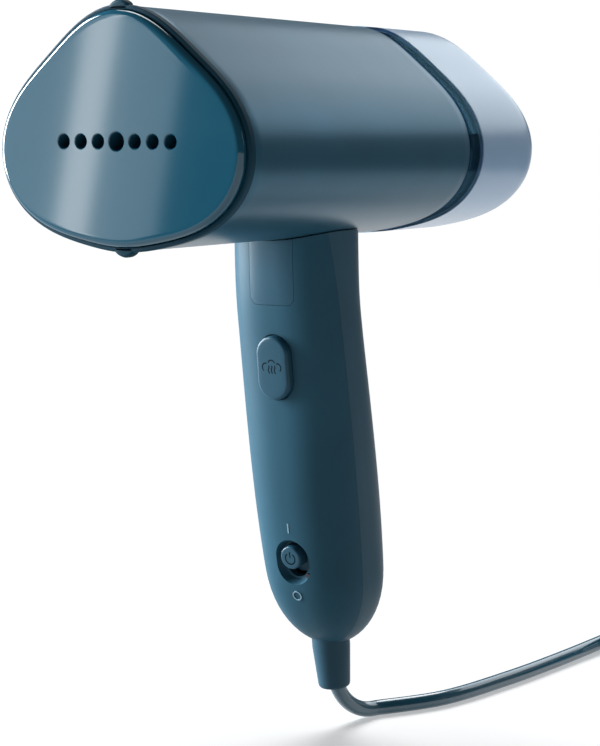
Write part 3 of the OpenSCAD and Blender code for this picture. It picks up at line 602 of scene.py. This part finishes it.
# up over the coil's rim and down into the plug's neck
PLUG_X, PLUG_Z = 98, -103.8
top = LIE + 1 + 2 * LAYER
tail = spline([tuple(route[-1]), (91.1, 187, top + 5.0), (91.2, 176, top + 6.0), (91.6, 164, top + 5.9),
               (92.8, 154, top + 3.6), (94.6, 147, top - 0.6), (96.8, 139.5, top - 4.8), (PLUG_X, 132.6, PLUG_Z),
               (PLUG_X, 128, PLUG_Z), (PLUG_X, 122, PLUG_Z)], 5)
route += tail[1:]
points = np.array(route)
curve = bpy.data.curves.new("cord", "CURVE")
curve.dimensions = "3D"
line = curve.splines.new("POLY")
line.points.add(len(points) - 1)
for spot, q in zip(line.points, points):
    spot.co = (*(q * MM), 1)
curve.bevel_depth, curve.bevel_resolution, curve.use_fill_caps = CORD_R * MM, 6, True
curve.materials.append(M["cord_dark"])
line.use_smooth = True
cord = bpy.data.objects.new("cord", curve)
scene.collection.objects.link(cord)
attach(cord, "handle")
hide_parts("power_cord", "cord_coil", "cord_tail")

# strap round the far side of the coil
mid, high = (INNER + OUTER) / 2, LIE + 1 + LAYER
half_w, half_h = (OUTER - INNER) / 2 + CORD_R + 0.15, LAYER + CORD_R + 0.12


STRAP_R = 2.9


def strap_ring(x, grow):
    """Rounded rectangle round the coil's section at x, grow outside it."""
    out = []
    for cy, cz, a0 in ((1, 1, 0), (-1, 1, 90), (-1, -1, 180), (1, -1, 270)):
        for a in np.radians(np.linspace(a0, a0 + 90, 8)):
            out.append((x, COIL[1] + mid + cy * (half_w - STRAP_R) + (STRAP_R + grow) * math.cos(a),
                        high + cz * (half_h - STRAP_R) + (STRAP_R + grow) * math.sin(a)))
    return out


strap = loft("cord_strap", [strap_ring(COIL[0] + x, g) for x, g in ((-4, 0.05), (-4, 0.6), (-3.7, 0.8), (3.7, 0.8),
                                                                    (4, 0.6), (4, 0.05))],
             closed=True, body="handle", nodes=("cord_tie",), slot="inner_black")

# two-pin plug


def plug_ring(y, w, h, p):
    """Section of the plug at y: w and h are half its width and height, p squares its corners."""
    t = np.linspace(0, 2 * math.pi, 72, endpoint=False)
    r = ((np.abs(np.sin(t)) / w) ** p + (np.abs(np.cos(t)) / h) ** p) ** (-1 / p)
    return np.stack([PLUG_X + r * np.sin(t), np.full(len(t), y), PLUG_Z + r * np.cos(t)], 1)


plug = [(88, 15.9, 7.6, 3.2), (88.2, 16.8, 8.4, 3.2), (89, 17.5, 8.9, 3.2), (91, 17.7, 9, 3.2), (104, 17.6, 9, 3.1),
        (110, 15.6, 8.7, 2.9), (115, 12.6, 8.2, 2.7), (118, 10, 7.6, 2.4), (120, 8.2, 7.0, 2.2)]
for i in range(4):                      # four ribs of the strain relief
    y = 120.6 + 3 * i
    r = 6.8 - 0.6 * i
    plug += [(y + dy, r - dr, r - dr, 2) for dy, dr in ((0, 0.9), (0.5, 0.9), (0.8, 0.15), (2.2, 0.3))]
plug += [(132.4, 4.0, 4.0, 2), (132.6, 3.3, 3.3, 2)]
plug_body = loft("plug", [plug_ring(*s) for s in plug], body="handle", nodes=("plug_body",), slot="plug_dark", sharp=34)

# ---------- stage ----------

world = bpy.data.worlds.new("studio")
scene.world = world
world.use_nodes = True
wn, wl = world.node_tree.nodes, world.node_tree.links
wn.clear()
out = wn.new("ShaderNodeOutputWorld")
mix = wn.new("ShaderNodeMixShader")
path = wn.new("ShaderNodeLightPath")
white, dim = wn.new("ShaderNodeBackground"), wn.new("ShaderNodeBackground")
white.inputs["Color"].default_value, white.inputs["Strength"].default_value = (1, 1, 1, 1), 1.05
dim.inputs["Color"].default_value, dim.inputs["Strength"].default_value = (0.80, 0.90, 1.0, 1), 0.05
wl.new(path.outputs["Is Camera Ray"], mix.inputs["Fac"])
wl.new(dim.outputs[0], mix.inputs[1])
wl.new(white.outputs[0], mix.inputs[2])
wl.new(mix.outputs[0], out.inputs["Surface"])

FLOOR_Z, FLOOR_HALF = -113.05, 9000
floor = make("floor", [(x * FLOOR_HALF, y * FLOOR_HALF, FLOOR_Z) for x, y in ((-1, -1), (1, -1), (1, 1), (-1, 1))],
             [(0, 1, 2, 3)])
paper = bpy.data.materials.new("floor_paper")
paper.use_nodes = True
pb = next(n for n in paper.node_tree.nodes if n.type == "BSDF_PRINCIPLED")
pb.inputs["Base Color"].default_value = (0.80, 0.80, 0.80, 1)
pb.inputs["Roughness"].default_value = 0.9
pb.inputs["Specular IOR Level"].default_value = 0.0
pb.inputs["Emission Color"].default_value = (1, 1, 1, 1)
pb.inputs["Emission Strength"].default_value = 0.43
floor.data.materials.append(paper)


def area_light(name, azimuth, height, distance, size, size_y, glow, color=(1, 1, 1), aim=(0, 0, 0.05), lean=0.0):
    """Softbox seen from the head at azimuth degrees (0 is -Y, 90 is +X); glow is its radiance."""
    a = math.radians(azimuth)
    data = bpy.data.lights.new(name, "AREA")
    data.shape, data.size, data.size_y, data.color = "RECTANGLE", size, size_y, color
    data.energy = glow * math.pi * size * size_y
    o = bpy.data.objects.new(name, data)
    o.location = (distance * math.sin(a), -distance * math.cos(a), height)
    facing = (Vector(aim) - o.location).to_track_quat("-Z", "Y")
    o.rotation_euler = (facing @ Quaternion((0, 0, 1), math.radians(lean))).to_euler()
    o.visible_camera = False
    scene.collection.objects.link(o)
    return o


softboxes = [
    area_light("key_left", -73, 0.26, 1.4, 0.7, 1.4, 43.0, (0.93, 0.97, 1.0)),
    area_light("front_left", -41.46, 0.10, 1.7, 0.36, 1.4, 2.6, (0.78, 0.93, 1.0), lean=-10.2),
    area_light("streak", -38.16, 0.10, 1.68, 0.032, 1.2, 6.0, lean=-10.2),
    area_light("top_back", 172, 0.80, 1.5, 1.6, 0.75, 2.5, (0.88, 0.95, 1.0), aim=(0, 0, 0.1)),
    area_light("right_back", 118, 0.25, 1.4, 0.25, 0.8, 1.2, (0.9, 0.96, 1.0)),
]
# black cards that only reflections see: they keep the barrel's side dark along its middle, and
# the floor out of the plate
card = make("card", [(20, 750, -112), (750, 100, -112), (750, 100, 190), (20, 750, 190),
                     (-8800, -8800, -112), (-600, -8800, -112), (-600, -900, -112), (-8800, -900, -112)],
            [(0, 1, 2, 3), (4, 5, 6, 7)])
black = bpy.data.materials.new("card_black")
black.use_nodes = True
black_bsdf = next(n for n in black.node_tree.nodes if n.type == "BSDF_PRINCIPLED")
black_bsdf.inputs["Base Color"].default_value = (0.01, 0.01, 0.012, 1)
card.data.materials.append(black)
card.visible_camera = card.visible_diffuse = card.visible_shadow = card.visible_transmission = False
# the softboxes light everything but the floor
unlit = bpy.data.collections.new("not_lit_by_softboxes")
unlit.objects.link(floor)
unlit.collection_objects[0].light_linking.link_state = "EXCLUDE"
for o in softboxes:
    o.light_linking.receiver_collection = unlit
# a wide sun gives the floor its soft shadow
sun = bpy.data.objects.new("sky", bpy.data.lights.new("sky", "SUN"))
sun.data.energy, sun.data.angle = 2.6, math.radians(40)
sun.rotation_euler = Vector((0.31, -0.45, -0.84)).to_track_quat("-Z", "Y").to_euler()
scene.collection.objects.link(sun)
scene.view_settings.view_transform = "Standard"
